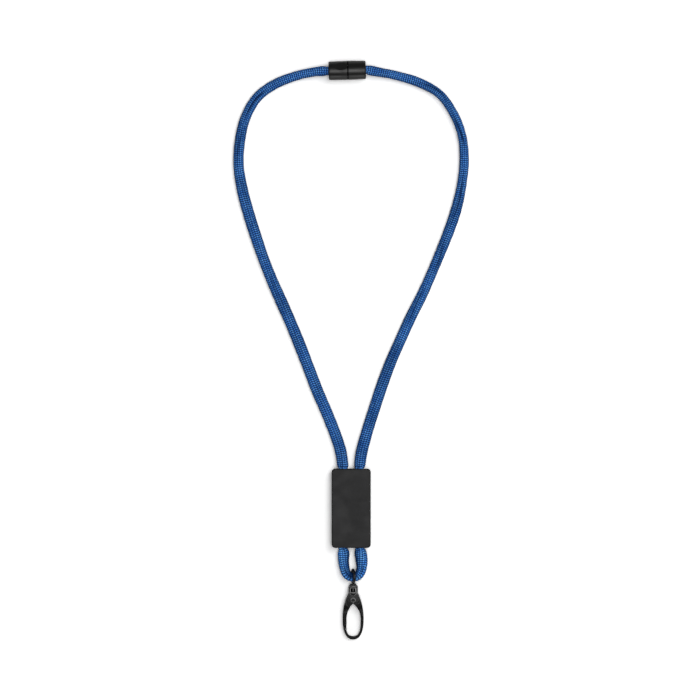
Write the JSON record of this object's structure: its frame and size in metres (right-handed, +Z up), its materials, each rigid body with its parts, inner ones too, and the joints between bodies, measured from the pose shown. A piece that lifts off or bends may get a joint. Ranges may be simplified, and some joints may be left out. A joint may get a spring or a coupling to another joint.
{
  "type": "lanyard",
  "caption": "Neck lanyard of braided cord with a snap breakaway connector, a clamped cord tag and a swivel snap hook with a sprung gate.",
  "frame": {"origin": "middle of the underside of the hardware (connector, tag and hook), on the surface that the lanyard lies on", "axes": "+Y from the hook to the connector, +X to the right as seen from above, +Z up from the surface"},
  "size_m": [0.1651, 0.4053, 0.0134],
  "materials": {
    "cord": "fine braided polyester, royal blue",
    "connector_plastic": "satin black moulding",
    "prong_plastic": "black acetal",
    "ferrule_metal": "plated, crimped",
    "tag_plastic": "fine matte charcoal texture",
    "hook_metal": "black coated die casting, satin",
    "pin_metal": "black oxide, peened",
    "spring_steel": "bright spring wire"
  },
  "bodies": {
    "strap": {"tag_back": "tag_plastic", "tag_front": "tag_plastic", "neck_cord_left": "cord", "neck_cord_right": "cord", "hook_loop_cord": "cord", "socket_shell": "connector_plastic", "socket_ferrule": "ferrule_metal"},
    "plug": {"plug_shell": "connector_plastic", "plug_insert": "prong_plastic", "plug_ferrule": "ferrule_metal"},
    "eye": {"swivel_eye": "hook_metal"},
    "hook": {"hook_body": "hook_metal", "gate_pin": "pin_metal", "gate_spring": "spring_steel"},
    "gate": {"hook_gate": "hook_metal"}
  },
  "joints": [
    {"name": "plug_release", "type": "slide", "parent": "strap", "child": "plug", "axis": [-0.9997, -0.0262, 0], "range_m": [0, 0.02], "deforming": ["neck_cord_left"]},
    {"name": "eye_swing", "type": "hinge", "parent": "strap", "child": "eye", "pos_m": [0.0024, -0.1579, 0.00512], "axis": [-1, 0, 0], "range_deg": [-75, 75]},
    {"name": "hook_swivel", "type": "hinge", "parent": "eye", "child": "hook", "pos_m": [0.0024, -0.1579, 0.00512], "axis": [0, -0.9975, -0.0706], "continuous": true},
    {"name": "gate_open", "type": "hinge", "parent": "hook", "child": "gate", "pos_m": [0.0024, -0.17386, 0.00399], "axis": [0, -0.0706, 0.9975], "range_deg": [0, 23], "stiffness_Nm_per_rad": 0.04, "springref_deg": -17.19, "deforming": ["gate_spring"]}
  ]
}
